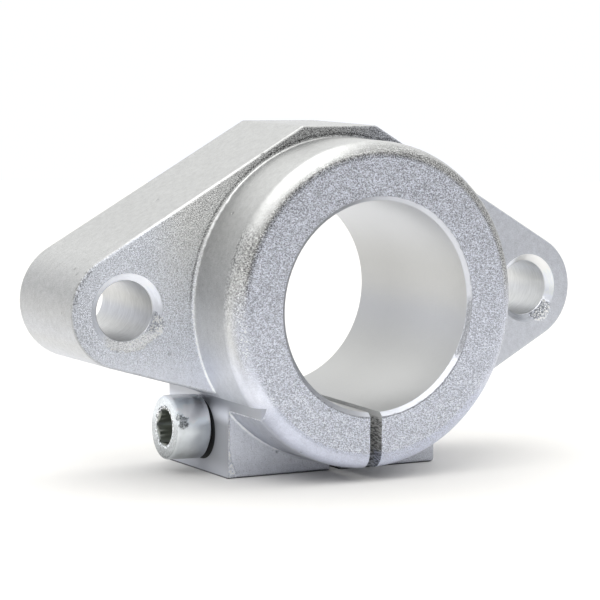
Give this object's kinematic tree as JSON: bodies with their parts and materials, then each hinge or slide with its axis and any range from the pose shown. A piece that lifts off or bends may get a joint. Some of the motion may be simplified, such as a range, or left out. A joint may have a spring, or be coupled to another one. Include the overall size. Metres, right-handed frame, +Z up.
{
  "type": "shaft support block",
  "caption": "Cast aluminium flange-type shaft support: a split hub clamps a round shaft square to a wall, bolted on by its two ears.",
  "frame": {"origin": "on the shaft's axis, at the mounting face", "axes": "+Y along the shaft's axis, out of the mounting face; +X from the ear on the screw head's side to the other ear; +Z up, away from the clamp lugs"},
  "size_m": [0.0704, 0.025, 0.0432],
  "materials": {
    "cast_aluminium": "bead-blasted casting with machined bores",
    "plated_steel": "bright zinc plating"
  },
  "bodies": {
    "block": {"support_body": "cast_aluminium"},
    "screw": {"clamp_screw": "plated_steel"}
  },
  "joints": [
    {"name": "clamp_screw_turn", "type": "hinge", "parent": "block", "child": "screw", "pos_m": [-0.01533, -0.0085, -0.01545], "axis": [0.9986, 0, -0.0523], "range_deg": [-3870, 140]}
  ]
}
